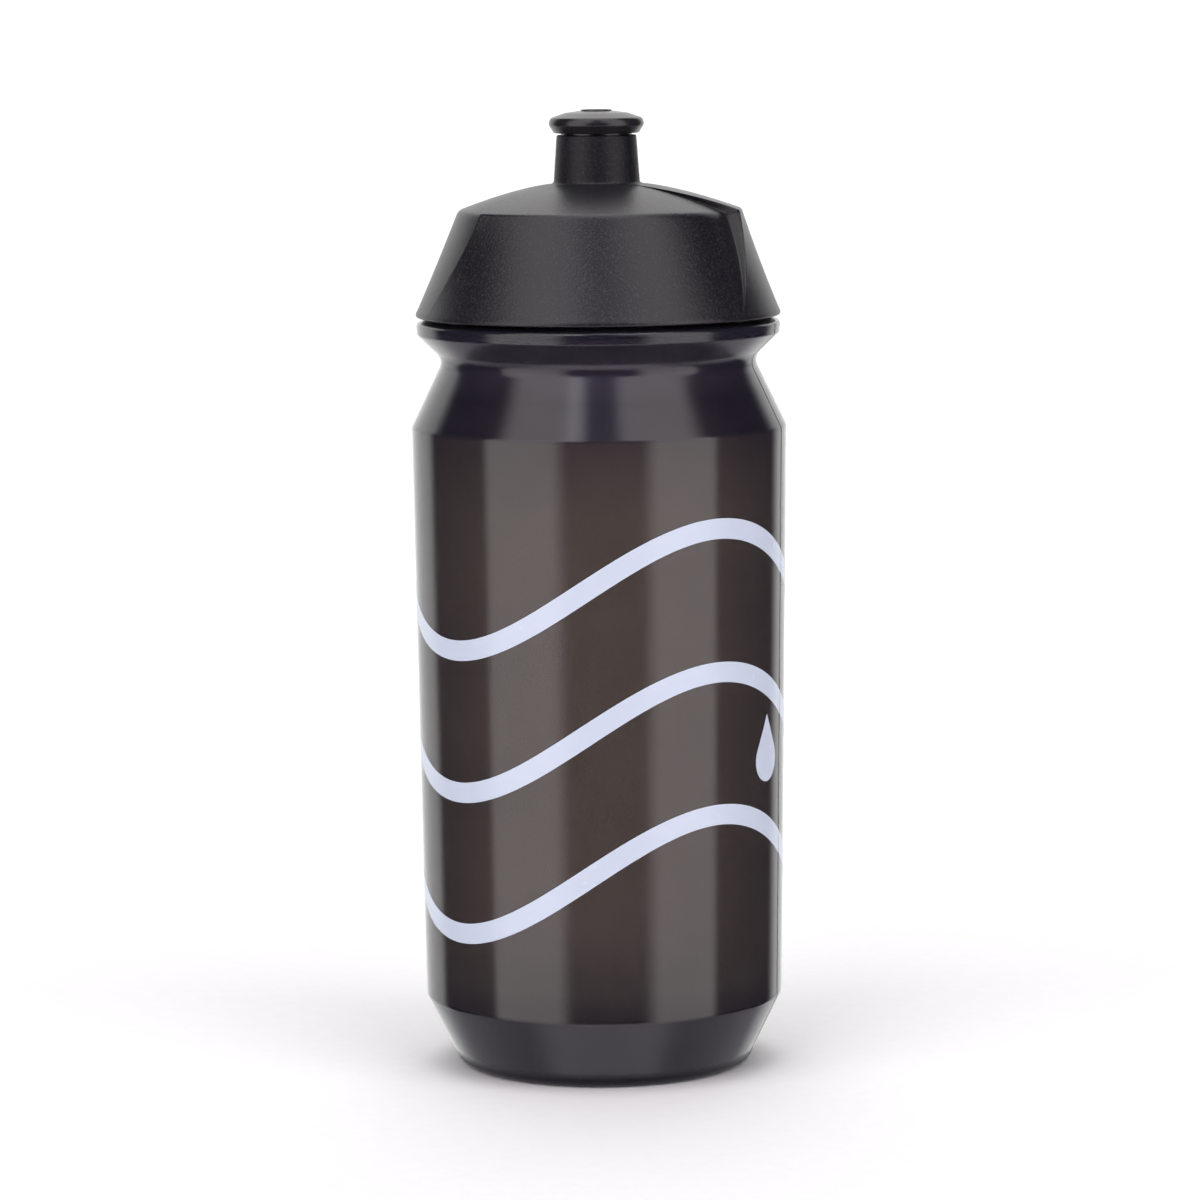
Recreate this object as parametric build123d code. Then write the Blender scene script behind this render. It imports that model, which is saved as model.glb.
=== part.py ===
from build123d import *
import math
import os

# A 500 ml squeeze bottle for a bicycle cage, with a screw cap and a push-pull valve.
# Millimetres. +Z is up, the bottle's axis is the Z axis, and z = 0 is the foot it stands on.
# Azimuth is measured from the front (-Y) towards +X, in degrees.

# ---- bottle body, a blow-moulded shell --------------------------------------------------
BODY_WALL = 1.0
PUNT_HEIGHT = 4.5          # rise of the recessed base at the axis
PUNT_FLAT_R = 15.0         # where the recess starts to fall towards the foot
PUNT_FLAT_DROP = 0.7
PUNT_FILLET = 6.0
PUNT_R = 23.0              # where the recess meets the flat ring of the foot
PUNT_EDGE_FILLET = 1.5
FOOT_R = 28.8
FOOT_FILLET = 3.2
CHAMFER_TOP_Z = 14.1
CHAMFER_TOP_R = 35.63
CHAMFER_FILLET = 1.35
SHOULDER_Z = 127.7
SHOULDER_R = 37.07
SHOULDER_FILLET = 1.5
WAIST_Z = 141.1
WAIST_R = 30.66            # corner of the groove before its fillet
WAIST_FILLET = 2.7
BEAD_LOW_Z = 146.1         # underside of the bead above the waist
BEAD_LOW_R = 35.8
BEAD_LOW_FILLET = 0.5
BEAD_TOP_Z = 148.3
BEAD_R = 36.0
BEAD_TOP_FILLET = 0.9
NECK_R = 26.4              # root of the neck's thread
NECK_BORE_R = 25.0
NECK_FOOT_FILLET = 0.6
LIP_Z = 165.0
LIP_FILLET = 0.4

# ---- cavity of the body, where the wall isn't simply BODY_WALL ----------------------------
CAVITY_PUNT_R = 15.4
CAVITY_PUNT_EDGE_R = 23.9
CAVITY_PUNT_FILLET = 1.2
CAVITY_FOOT_R = 28.15
CAVITY_FOOT_FILLET = 2.2
CAVITY_CHAMFER_Z = 14.45
CAVITY_CORNER_FILLET = 1.0
CAVITY_SHOULDER_Z = 127.5
CAVITY_WAIST_R = 29.56
CAVITY_WAIST_Z = 141.2
CAVITY_WAIST_FILLET = 2.2
CAVITY_BEAD_R = 34.4
CAVITY_BEAD_LOW_Z = 146.6
CAVITY_BEAD_LOW_FILLET = 0.4
CAVITY_BEAD_TOP_Z = 147.3
CAVITY_BEAD_TOP_FILLET = 0.25
CAVITY_NECK_FILLET = 0.3

# ---- screw thread between neck and cap ---------------------------------------------------
LEAD = 5.0
NECK_CREST_R = 27.7
NECK_THREAD_Z = 152.6      # middle of the ridge where it starts
NECK_TURNS = 1.5
CAP_ROOT_R = 28.0
CAP_CREST_R = 26.8
CAP_TURNS = 1.2
CAP_THREAD_DROP = 2.0      # the cap's ridge runs this far under the neck's ridge
CAP_THREAD_LAG = 0.2       # turns by which the cap's ridge starts after the neck's
RIDGE_ROOT_WIDTH = 2.6
RIDGE_CREST_WIDTH = 1.2
CAP_RIDGE_ROOT_WIDTH = 2.4
CAP_RIDGE_CREST_WIDTH = 1.0
RIDGE_SINK = 0.3           # how deep a ridge's root is buried in its wall

# ---- screw cap, outside --------------------------------------------------------------------
CAP_WALL = 1.6
SKIRT_Z = 149.5
SKIRT_R = 36.3
RIM_CHAMFER = 0.7
CREASE_Z = 170.2           # crisp edge between skirt and dome
CREASE_LOW_R = 26.85
SKIRT_SLOPE = (SKIRT_R - CREASE_LOW_R) / (CREASE_Z - SKIRT_Z)
CREASE_STEP = 2.7          # how far a blade's leading edge stands over the next one's end
BLADE_MID_HEIGHT = 0.33    # share of that step left halfway along a blade
FADED_STEP = 0.05          # what is left of the step at the rim and beside the spout
SWIRL_BLADES = 3
SWIRL_CREASE_AZIMUTH = 70.0
SWIRL_SKIRT_AZIMUTH = 50.5
SWIRL_SPOUT_AZIMUTH = 46.0
SKIRT_STEP_POWER = 1.3     # how the step grows up the skirt
SKIRT_SWING_POWER = 1.5
DOME_STEP_POWER = 1.6      # how the step fades over the dome
DOME_SWING_POWER = 1.7
DOME_RISE_POWER = 1.4
SKIRT_SECTIONS = (SKIRT_Z, 154.5, 160.0, 165.0, 168.3, CREASE_Z)
DOME_SECTIONS = 6
DOME_TOP_Z = 175.4
DOME_TOP_R = 9.6
SPOUT_LOW_R = 8.5
SPOUT_TOP_R = 7.85
SPOUT_TOP_Z = 185.0
SPOUT_RIM_FILLET = 0.25
SPOUT_OVERLAP = 3.0        # how far the spout reaches down into the dome

# ---- screw cap, inside ---------------------------------------------------------------------
COLLAR_R = 29.4
COLLAR_Z = 150.1
SHELF_Z = 166.5
SHELF_CORNER_DROP = 1.5    # slope between the shelf and the root of the thread
PLUG_OUTER_R = 24.6
PLUG_INNER_R = 23.3
PLUG_Z = 161.0
HOLLOW_EDGE_Z = 169.4
HOLLOW_EDGE_FILLET = 0.8
HOLLOW_MID_R = 15.2
HOLLOW_MID_Z = 172.6
HOLLOW_MID_FILLET = 3.0
HOLLOW_TOP_Z = 173.7
BOSS_OUTER_R = 11.2
BOSS_R = 9.7
BOSS_Z = 171.1
BOSS_SHOULDER_Z = 173.4
SPOUT_LAND_R = 7.06        # the bore that the valve's stem slides in
SPOUT_LAND_Z = 181.6
SPOUT_LAND_LEAD_IN = 0.4
SPOUT_CHAMBER_R = 7.45

# ---- seal ring ---------------------------------------------------------------------------
SEAL_INNER_R = 24.9
SEAL_OUTER_R = 27.4
SEAL_FILLET = 0.25
SEAL_PLAY = 0.1

# ---- centre pin on its three-spoked ring -------------------------------------------------
RING_INNER_R = 8.0
RING_Z = 171.5
PIN_R = 2.4
PIN_NECK_Z = 185.2
PIN_TIP_R = 3.1
PIN_TIP_Z = 186.4
PIN_TOP_Z = 190.0
PIN_RIM_FILLET = 0.5
PIN_DISH_R = 2.35
PIN_DISH_FLOOR_R = 2.0
PIN_DISH_DEPTH = 0.5
SPOKE_WIDTH = 1.6
SPOKE_COUNT = 3
SPOKE_AZIMUTH = 30.0
SPOKE_OVERLAP = 0.5        # how far a spoke runs into the ring

# ---- push-pull valve ---------------------------------------------------------------------
STEM_R = 7.0
STEM_BORE_R = 5.6
STEM_Z = 174.4
STEM_TOP_Z = 187.0
STEM_BEAD_R = 7.35
STEM_BEAD_HEIGHT = 1.0
STEM_BEAD_SLOPE = 0.3
STEM_FLANGE_R = 8.3
STEM_FLANGE_Z = 186.2
HEAD_Z = 185.4
HEAD_LOW_R = 8.4
HEAD_LOW_FILLET = 0.4
HEAD_R = 9.45
HEAD_R_Z = 187.15
HEAD_FILLET = 1.0
HEAD_SHOULDER_R = 9.1
HEAD_SHOULDER_Z = 188.35
HEAD_SHOULDER_FILLET = 0.9
HEAD_CROWN_R = 6.2
HEAD_CROWN_Z = 189.35
HEAD_CROWN_FILLET = 2.0
HEAD_TOP_Z = 189.75
HEAD_HOLE_R = 3.15
HEAD_HOLE_FILLET = 0.25

PAST = 1.0                 # how far a cutting shape runs past the surface it cuts


def turned(*corners):
    """Solid of revolution about the Z axis; corners are (r, z) or (r, z, fillet)."""
    points = [(corner[0], 0, corner[1]) for corner in corners]
    radii = [corner[2] if len(corner) > 2 else 0.0 for corner in corners]
    outline = FilletPolyline(*points, radius=radii, close=True)
    return Solid.revolve(Face(Wire(outline.edges())), 360, Axis.Z)


def ridge(root_r, crest_r, root_width, crest_width, start_z, start_turn, turns):
    """Helical ridge of a screw thread, sunk into its wall; crest_r is outside or inside root_r."""
    buried_r = root_r - math.copysign(RIDGE_SINK, crest_r - root_r)
    flare = (root_width - crest_width) * RIDGE_SINK / abs(crest_r - root_r)
    buried_width = root_width + flare
    outline = Polyline(
        (buried_r, 0, -buried_width / 2),
        (crest_r, 0, -crest_width / 2),
        (crest_r, 0, crest_width / 2),
        (buried_r, 0, buried_width / 2),
        close=True,
    )
    helix = Edge.make_helix(LEAD, LEAD * turns, buried_r)
    solid = Solid.sweep(Face(Wire(outline.edges())), helix, is_frenet=True)
    return Pos(0, 0, start_z) * Rot(0, 0, 360 * start_turn) * solid


def bottle_body():
    """Shell with a recessed base, tapering sides, a waist, a hollow bead and a threaded neck."""
    outer = turned(
        (0, PUNT_HEIGHT),
        (PUNT_FLAT_R, PUNT_HEIGHT - PUNT_FLAT_DROP, PUNT_FILLET),
        (PUNT_R, 0, PUNT_EDGE_FILLET),
        (FOOT_R, 0, FOOT_FILLET),
        (CHAMFER_TOP_R, CHAMFER_TOP_Z, CHAMFER_FILLET),
        (SHOULDER_R, SHOULDER_Z, SHOULDER_FILLET),
        (WAIST_R, WAIST_Z, WAIST_FILLET),
        (BEAD_LOW_R, BEAD_LOW_Z, BEAD_LOW_FILLET),
        (BEAD_R, BEAD_TOP_Z, BEAD_TOP_FILLET),
        (NECK_R, BEAD_TOP_Z, NECK_FOOT_FILLET),
        (NECK_R, LIP_Z, LIP_FILLET),
        (0, LIP_Z),
    )
    floor_z = PUNT_HEIGHT + BODY_WALL
    cavity = turned(
        (0, floor_z),
        (CAVITY_PUNT_R, floor_z - PUNT_FLAT_DROP, PUNT_FILLET),
        (CAVITY_PUNT_EDGE_R, BODY_WALL, CAVITY_PUNT_FILLET),
        (CAVITY_FOOT_R, BODY_WALL, CAVITY_FOOT_FILLET),
        (CHAMFER_TOP_R - BODY_WALL, CAVITY_CHAMFER_Z, CAVITY_CORNER_FILLET),
        (SHOULDER_R - BODY_WALL, CAVITY_SHOULDER_Z, CAVITY_CORNER_FILLET),
        (CAVITY_WAIST_R, CAVITY_WAIST_Z, CAVITY_WAIST_FILLET),
        (CAVITY_BEAD_R, CAVITY_BEAD_LOW_Z, CAVITY_BEAD_LOW_FILLET),
        (CAVITY_BEAD_R, CAVITY_BEAD_TOP_Z, CAVITY_BEAD_TOP_FILLET),
        (NECK_BORE_R, CAVITY_BEAD_TOP_Z, CAVITY_NECK_FILLET),
        (NECK_BORE_R, LIP_Z + PAST),
        (0, LIP_Z + PAST),
    )
    thread = ridge(
        NECK_R, NECK_CREST_R, RIDGE_ROOT_WIDTH, RIDGE_CREST_WIDTH, NECK_THREAD_Z, 0, NECK_TURNS
    )
    return outer - cavity + thread


def blade_section(z, low_r, step, azimuth):
    """Pinwheel outline at height z: each blade falls from low_r + step to low_r along one arc."""
    turn = 360 / SWIRL_BLADES
    edges = []
    for i in range(SWIRL_BLADES):
        start = azimuth + i * turn
        points = []
        for share, height in ((0, 1.0), (0.5, BLADE_MID_HEIGHT), (1, 0.0)):
            angle = math.radians(start + share * turn - 90)
            r = low_r + step * height
            points.append((r * math.cos(angle), r * math.sin(angle), z))
        edges.append(Edge.make_three_point_arc(*points))
        angle = math.radians(start + turn - 90)
        raised = ((low_r + step) * math.cos(angle), (low_r + step) * math.sin(angle), z)
        edges.append(Edge.make_line(points[2], raised))
    return Wire(edges)


def skirt_section(z):
    """Outline of the skirt at height z; the blades' steps fade to nothing at the bottom."""
    share = (z - SKIRT_Z) / (CREASE_Z - SKIRT_Z)
    low_r = SKIRT_R - SKIRT_SLOPE * (z - SKIRT_Z)
    step = max(FADED_STEP, CREASE_STEP * share ** SKIRT_STEP_POWER)
    swing = SWIRL_CREASE_AZIMUTH - SWIRL_SKIRT_AZIMUTH
    azimuth = SWIRL_CREASE_AZIMUTH - swing * (1 - share) ** SKIRT_SWING_POWER
    return blade_section(z, low_r, step, azimuth)


def dome_section(share):
    """Outline of the dome; share runs from 0 at the crease to 1 beside the spout."""
    z = DOME_TOP_Z - (DOME_TOP_Z - CREASE_Z) * (1 - share) ** DOME_RISE_POWER
    low_r = CREASE_LOW_R + (DOME_TOP_R - CREASE_LOW_R) * share
    step = max(FADED_STEP, CREASE_STEP * (1 - share) ** DOME_STEP_POWER)
    swing = SWIRL_CREASE_AZIMUTH - SWIRL_SPOUT_AZIMUTH
    azimuth = SWIRL_CREASE_AZIMUTH - swing * share ** DOME_SWING_POWER
    return blade_section(z, low_r, step, azimuth)


def cap_outside():
    """Conical skirt and dome with swirling blades, the chamfered rim and the spout."""
    skirt = Solid.make_loft([skirt_section(z) for z in SKIRT_SECTIONS])
    shares = [i / (DOME_SECTIONS - 1) for i in range(DOME_SECTIONS)]
    dome = Solid.make_loft([dome_section(share) for share in shares])
    spout = turned(
        (0, DOME_TOP_Z - SPOUT_OVERLAP),
        (SPOUT_LOW_R, DOME_TOP_Z - SPOUT_OVERLAP),
        (SPOUT_LOW_R, DOME_TOP_Z),
        (SPOUT_TOP_R, SPOUT_TOP_Z, SPOUT_RIM_FILLET),
        (0, SPOUT_TOP_Z),
    )
    rim_cut = turned(
        (SKIRT_R - RIM_CHAMFER - PAST, SKIRT_Z - PAST),
        (SKIRT_R + PAST, SKIRT_Z - PAST),
        (SKIRT_R + PAST, SKIRT_Z + RIM_CHAMFER + PAST),
    )
    return skirt + dome + spout - rim_cut


def skirt_hollow():
    """Space between the skirt and the threaded collar."""
    inner_r = SKIRT_R - CAP_WALL
    top_z = SKIRT_Z + (inner_r - COLLAR_R) / SKIRT_SLOPE
    return turned(
        (COLLAR_R, SKIRT_Z - PAST), (inner_r + SKIRT_SLOPE * PAST, SKIRT_Z - PAST), (COLLAR_R, top_z)
    )


def neck_hollow():
    """Space for the neck, between the threaded collar and the plug lip."""
    return turned(
        (PLUG_OUTER_R, PLUG_Z),
        (PLUG_OUTER_R, SHELF_Z),
        (SEAL_OUTER_R + SEAL_PLAY, SHELF_Z),
        (CAP_ROOT_R, SHELF_Z - SHELF_CORNER_DROP),
        (CAP_ROOT_R, COLLAR_Z),
        (COLLAR_R, COLLAR_Z),
        (COLLAR_R, SKIRT_Z - PAST),
        (0, SKIRT_Z - PAST),
        (0, PLUG_Z),
    )


def dome_hollow():
    """Space under the dome, around the boss that holds the centre pin's ring."""
    hollow = turned(
        (0, PLUG_Z - PAST),
        (PLUG_INNER_R, PLUG_Z - PAST),
        (PLUG_INNER_R, HOLLOW_EDGE_Z, HOLLOW_EDGE_FILLET),
        (HOLLOW_MID_R, HOLLOW_MID_Z, HOLLOW_MID_FILLET),
        (BOSS_OUTER_R, HOLLOW_TOP_Z),
        (0, HOLLOW_TOP_Z),
    )
    boss = turned(
        (0, BOSS_Z), (BOSS_OUTER_R, BOSS_Z), (BOSS_OUTER_R, HOLLOW_TOP_Z + PAST), (0, HOLLOW_TOP_Z + PAST)
    )
    return hollow - boss


def valve_bore():
    """Stepped bore through the boss and the spout."""
    return turned(
        (0, BOSS_Z - PAST),
        (BOSS_R, BOSS_Z - PAST),
        (BOSS_R, BOSS_SHOULDER_Z),
        (SPOUT_CHAMBER_R, BOSS_SHOULDER_Z),
        (SPOUT_CHAMBER_R, SPOUT_LAND_Z),
        (SPOUT_LAND_R, SPOUT_LAND_Z + SPOUT_LAND_LEAD_IN),
        (SPOUT_LAND_R, SPOUT_TOP_Z + PAST),
        (0, SPOUT_TOP_Z + PAST),
    )


def screw_cap():
    """Dome and conical skirt with three swirling blades, threaded collar, plug lip and spout."""
    cap = cap_outside() - skirt_hollow() - neck_hollow() - dome_hollow() - valve_bore()
    thread = ridge(
        CAP_ROOT_R,
        CAP_CREST_R,
        CAP_RIDGE_ROOT_WIDTH,
        CAP_RIDGE_CREST_WIDTH,
        NECK_THREAD_Z - CAP_THREAD_DROP + CAP_THREAD_LAG * LEAD,
        CAP_THREAD_LAG,
        CAP_TURNS,
    )
    return cap + thread


def seal_ring():
    """Flat ring squeezed between the cap's shelf and the lip of the neck."""
    return turned(
        (SEAL_INNER_R, LIP_Z, SEAL_FILLET),
        (SEAL_OUTER_R, LIP_Z, SEAL_FILLET),
        (SEAL_OUTER_R, SHELF_Z, SEAL_FILLET),
        (SEAL_INNER_R, SHELF_Z, SEAL_FILLET),
    )


def centre_pin():
    """Pin that plugs the valve's hole, on three spokes inside a ring held in the cap's boss."""
    ring = turned(
        (RING_INNER_R, RING_Z),
        (BOSS_R, RING_Z),
        (BOSS_R, BOSS_SHOULDER_Z),
        (RING_INNER_R, BOSS_SHOULDER_Z),
    )
    pin = turned(
        (0, RING_Z),
        (PIN_R, RING_Z),
        (PIN_R, PIN_NECK_Z),
        (PIN_TIP_R, PIN_TIP_Z),
        (PIN_TIP_R, PIN_TOP_Z, PIN_RIM_FILLET),
        (PIN_DISH_R, PIN_TOP_Z),
        (PIN_DISH_FLOOR_R, PIN_TOP_Z - PIN_DISH_DEPTH),
        (0, PIN_TOP_Z - PIN_DISH_DEPTH),
    )
    body = ring + pin
    for i in range(SPOKE_COUNT):
        spoke = Box(
            RING_INNER_R + SPOKE_OVERLAP,
            SPOKE_WIDTH,
            BOSS_SHOULDER_Z - RING_Z,
            align=(Align.MIN, Align.CENTER, Align.MIN),
        )
        turn = Rot(0, 0, SPOKE_AZIMUTH + i * 360 / SPOKE_COUNT)
        body = body + turn * (Pos(0, 0, RING_Z) * spoke)
    return body


def valve_stem():
    """Stiff tube that slides in the spout, with a bead that stops it and a flange for the head."""
    bead_top_z = STEM_Z + STEM_BEAD_HEIGHT
    return turned(
        (STEM_BORE_R, STEM_Z),
        (STEM_R, STEM_Z),
        (STEM_BEAD_R, STEM_Z + STEM_BEAD_SLOPE),
        (STEM_BEAD_R, bead_top_z),
        (STEM_R, bead_top_z + STEM_BEAD_SLOPE),
        (STEM_R, STEM_FLANGE_Z),
        (STEM_FLANGE_R, STEM_FLANGE_Z),
        (STEM_FLANGE_R, STEM_TOP_Z),
        (STEM_BORE_R, STEM_TOP_Z),
    )


def mouthpiece():
    """Soft head moulded over the stem's flange, with a hole that closes on the centre pin."""
    return turned(
        (HEAD_HOLE_R, STEM_TOP_Z),
        (STEM_FLANGE_R, STEM_TOP_Z),
        (STEM_FLANGE_R, STEM_FLANGE_Z),
        (STEM_R, STEM_FLANGE_Z),
        (STEM_R, HEAD_Z),
        (HEAD_LOW_R, HEAD_Z, HEAD_LOW_FILLET),
        (HEAD_R, HEAD_R_Z, HEAD_FILLET),
        (HEAD_SHOULDER_R, HEAD_SHOULDER_Z, HEAD_SHOULDER_FILLET),
        (HEAD_CROWN_R, HEAD_CROWN_Z, HEAD_CROWN_FILLET),
        (HEAD_HOLE_R, HEAD_TOP_Z, HEAD_HOLE_FILLET),
    )


os.makedirs("parts", exist_ok=True)
NODES = {
    "bottle_body": bottle_body,
    "screw_cap": screw_cap,
    "seal_ring": seal_ring,
    "centre_pin": centre_pin,
    "valve_stem": valve_stem,
    "mouthpiece": mouthpiece,
}
for name, make in NODES.items():
    shape = make()
    print(name, len(shape.solids()), round(shape.volume, 1), shape.is_valid)
    export_step(shape, f"parts/{name}.step")
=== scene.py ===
import math

import bmesh
import bpy
from mathutils import Euler, Matrix, Vector


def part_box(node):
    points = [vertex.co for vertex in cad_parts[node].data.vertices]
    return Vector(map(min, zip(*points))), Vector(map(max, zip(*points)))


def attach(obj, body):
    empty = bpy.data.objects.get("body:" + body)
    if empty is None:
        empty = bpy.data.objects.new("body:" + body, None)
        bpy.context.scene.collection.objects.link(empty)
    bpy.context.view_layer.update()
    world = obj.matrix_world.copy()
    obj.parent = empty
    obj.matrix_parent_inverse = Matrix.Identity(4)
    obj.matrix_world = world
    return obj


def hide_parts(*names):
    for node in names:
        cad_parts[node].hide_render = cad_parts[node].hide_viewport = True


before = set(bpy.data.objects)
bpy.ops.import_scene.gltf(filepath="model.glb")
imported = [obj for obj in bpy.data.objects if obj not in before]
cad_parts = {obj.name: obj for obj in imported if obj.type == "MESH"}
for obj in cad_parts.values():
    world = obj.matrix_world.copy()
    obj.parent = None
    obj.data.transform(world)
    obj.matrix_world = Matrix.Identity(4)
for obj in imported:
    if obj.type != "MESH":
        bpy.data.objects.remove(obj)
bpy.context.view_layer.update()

# A bicycle bottle in metres, in the CAD frame: +Z up, z = 0 at the foot, -Y the printed front.
# Azimuth is measured from the front towards +X, in degrees.
MM = 0.001

# ---- bottle body, in millimetres --------------------------------------------------------
BODY_WALL = 1.0
PUNT_HEIGHT, PUNT_R, PUNT_EDGE_FILLET = 4.5, 23.0, 1.5
PUNT_FLAT_R, PUNT_FLAT_DROP, PUNT_FILLET = 15.0, 0.7, 6.0
FOOT_R, FOOT_FILLET = 28.8, 3.2
CHAMFER_R, CHAMFER_Z, CHAMFER_FILLET = 35.63, 14.1, 1.35
SHOULDER_R, SHOULDER_Z, SHOULDER_FILLET = 37.07, 127.7, 1.5
WAIST_R, WAIST_Z, WAIST_FILLET = 30.66, 141.1, 2.7
BEAD_LOW_R, BEAD_LOW_Z, BEAD_LOW_FILLET = 35.8, 146.1, 0.5
BEAD_R, BEAD_TOP_Z, BEAD_TOP_FILLET = 36.0, 148.3, 0.9
FLANGE_R, FLANGE_Z, FLANGE_FILLET = 33.8, 149.1, 0.6     # shelf round the neck, under the cap
NECK_R, NECK_BORE_R, LIP_Z, LIP_FILLET = 26.4, 25.0, 165.0, 0.4
BODY_COLUMNS = 240
SEAM_AZIMUTHS = (75.0, 255.0)                            # parting line of the blow mould
SEAM_HEIGHT, SEAM_WIDTH = 0.07, 0.32                     # mm, degrees each way
SEAM_COLUMNS = (-1.0, -0.5, -0.2, 0.0, 0.2, 0.5, 1.0)    # shares of its width

# ---- inside of the body -----------------------------------------------------------------
CAVITY_PUNT_R, CAVITY_PUNT_EDGE_R, CAVITY_PUNT_FILLET = 15.4, 23.9, 1.2
CAVITY_FOOT_R, CAVITY_FOOT_FILLET = 28.15, 2.2
CAVITY_CHAMFER_Z, CAVITY_SHOULDER_Z, CAVITY_CORNER_FILLET = 14.45, 127.5, 1.0
CAVITY_WAIST_R, CAVITY_WAIST_Z, CAVITY_WAIST_FILLET = 29.56, 141.2, 2.2
CAVITY_BEAD_R, CAVITY_BEAD_LOW_Z, CAVITY_BEAD_LOW_FILLET = 34.4, 146.6, 0.4
CAVITY_BEAD_TOP_Z, CAVITY_BEAD_TOP_FILLET, CAVITY_NECK_FILLET = 147.3, 0.25, 0.3

# ---- thread -----------------------------------------------------------------------------
LEAD = 5.0
NECK_CREST_R, NECK_THREAD_Z, NECK_TURNS = 27.7, 152.6, 1.5
NECK_RIDGE_ROOT, NECK_RIDGE_CREST = 1.3, 0.6             # half widths
CAP_ROOT_R, CAP_CREST_R, CAP_THREAD_Z, CAP_LAG, CAP_TURNS = 28.0, 26.8, 151.6, 0.2, 1.2
CAP_RIDGE_ROOT, CAP_RIDGE_CREST = 1.2, 0.5
THREAD_REACH = 1.6                                       # rows this far past the ridge can move
THREAD_TAPER_TURNS = 0.06

# ---- cap, outside -----------------------------------------------------------------------
CAP_WALL = 1.6
SKIRT_R, SKIRT_Z, RIM_ROUND, COLLAR_R = 36.3, 149.5, 0.9, 29.4
CREASE_R, CREASE_Z = 26.85, 169.75
CREASE_STEP, CREASE_RISE = 2.75, 0.75    # of a blade's leading edge over the next one's end
CREASE_FALL, CREASE_END_FALL, CREASE_END_POWER = 0.2, 0.55, 6
CREASE_ROUND, CREASE_ROUND_GROWTH = 0.32, 0.8            # reach of the round over the crease
BLADES, BLADE_COLUMNS, BLADE_SPACING, BLADE_START = 3, 62, 1.35, 0.006
BLADE_EVEN, BLADE_CREST, BLADE_CREST_LENGTH = 0.62, 0.38, 0.08
WALL_TURN = 1.1                          # degrees between a blade's end and the next one's edge
WALL_COLUMNS = (                         # the wall at a leading edge: (offset in mm, share of height)
    (-0.50, 0.0),
    (-0.42, 0.05),
    (-0.34, 0.22),
    (-0.27, 0.5),
    (-0.18, 0.78),
    (-0.09, 0.93),
    (0.02, 0.985),
)
FADED = 0.05                             # what is left of that wall at the rim and the spout
FADE_DOME, FADE_SKIRT = 12.0, 14.0       # lengths over which it grows
CREASE_AZIMUTH, SKIRT_AZIMUTH, SPOUT_AZIMUTH = 70.0, 50.0, 46.0
SKIRT_STEP_POWER, SKIRT_SWING_POWER, DOME_SWING_POWER = 1.3, 1.3, 2
DOME_R, DOME_Z, DOME_RISE_POWER = 9.3, 175.4, 1.4
SPOUT_LOW_R, SPOUT_TOP_R, SPOUT_TOP_Z = 8.5, 7.85, 185.0
PROFILE_STEPS, DOME_ROWS, SKIRT_ROWS = 40, 24, 30

# ---- cap, inside ------------------------------------------------------------------------
COLLAR_Z, COLLAR_SLOPE_DROP = 150.1, 0.6
SHELF_R, SHELF_Z, SHELF_SLOPE_Z = 27.5, 166.5, 165.0
PLUG_OUTER_R, PLUG_INNER_R, PLUG_Z = 24.6, 23.3, 161.0
HOLLOW_EDGE_Z, HOLLOW_MID_R, HOLLOW_MID_Z, HOLLOW_TOP_Z = 169.4, 15.2, 172.6, 173.7
BOSS_OUTER_R, BOSS_R, BOSS_Z, BOSS_SHOULDER_Z = 11.2, 9.7, 171.1, 173.4
SPOUT_CHAMBER_R, SPOUT_CHAMBER_Z = 7.45, 181.6
SPOUT_LAND_R, SPOUT_LAND_LOW_Z, SPOUT_LAND_Z = 7.06, 182.0, 182.5

# ---- seal, pin and valve ----------------------------------------------------------------
SEAL_WIDTH, SEAL_FILLET = 2.5, 0.25
PIN_R, PIN_NECK_Z = 2.4, 185.2
PIN_TIP_R, PIN_TIP_Z, PIN_RIM_FILLET = 3.1, 186.4, 0.3
PIN_DISH_R, PIN_DISH_FLOOR_R, PIN_DISH_DEPTH, PIN_DISH_MIDDLE = 2.35, 2.0, 0.5, 0.55
RING_R, RING_INNER_R, RING_TOP_Z = 9.68, 8.0, 173.4
SPOKES, SPOKE_AZIMUTH, SPOKE_R, SPOKE_LENGTH, SPOKE_WIDTH, SPOKE_ROUND = 3, 30, 5.2, 6.2, 1.6, 0.25
STEM_R, STEM_BORE_R, STEM_Z, STEM_TOP_Z = 7.0, 5.6, 174.4, 187.0
STEM_BEAD_R, STEM_BEAD_SLOPE, STEM_BEAD_TOP_Z = 7.35, 0.3, 175.7
STEM_FLANGE_R, STEM_FLANGE_Z = 8.3, 186.2
HEAD_Z, HEAD_LOW_R, HEAD_LOW_FILLET = 185.4, 8.4, 0.4
HEAD_R, HEAD_R_Z, HEAD_FILLET = 9.45, 187.15, 1.0
HEAD_SHOULDER_R, HEAD_SHOULDER_Z, HEAD_SHOULDER_FILLET = 9.1, 188.35, 0.9
HEAD_CROWN_R, HEAD_CROWN_Z, HEAD_CROWN_FILLET = 6.2, 189.35, 2.0
HEAD_HOLE_R, HEAD_TOP_Z, HEAD_HOLE_FILLET = 3.15, 189.75, 0.15
EDGE = 0.1                               # smallest round on an edge

# ---- print on the side ------------------------------------------------------------------
INK_LIFT = 0.025
BAND_WIDTH, BAND_SAMPLES = 4.0, 720
BAND_HEIGHTS = (98.0, 70.0, 42.0)
BAND_LINES = (-0.5, -0.25, 0.0, 0.25, 0.5)
WAVE_RISE, WAVE_PERIODS, WAVE_PHASE = 12.0, 2, -7.0
DROP_AZIMUTH, DROP_Z, DROP_R, DROP_TIP = 63.0, 63.0, 4.4, 9.0
DROP_ROWS, DROP_COLUMNS = 40, 10

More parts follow.
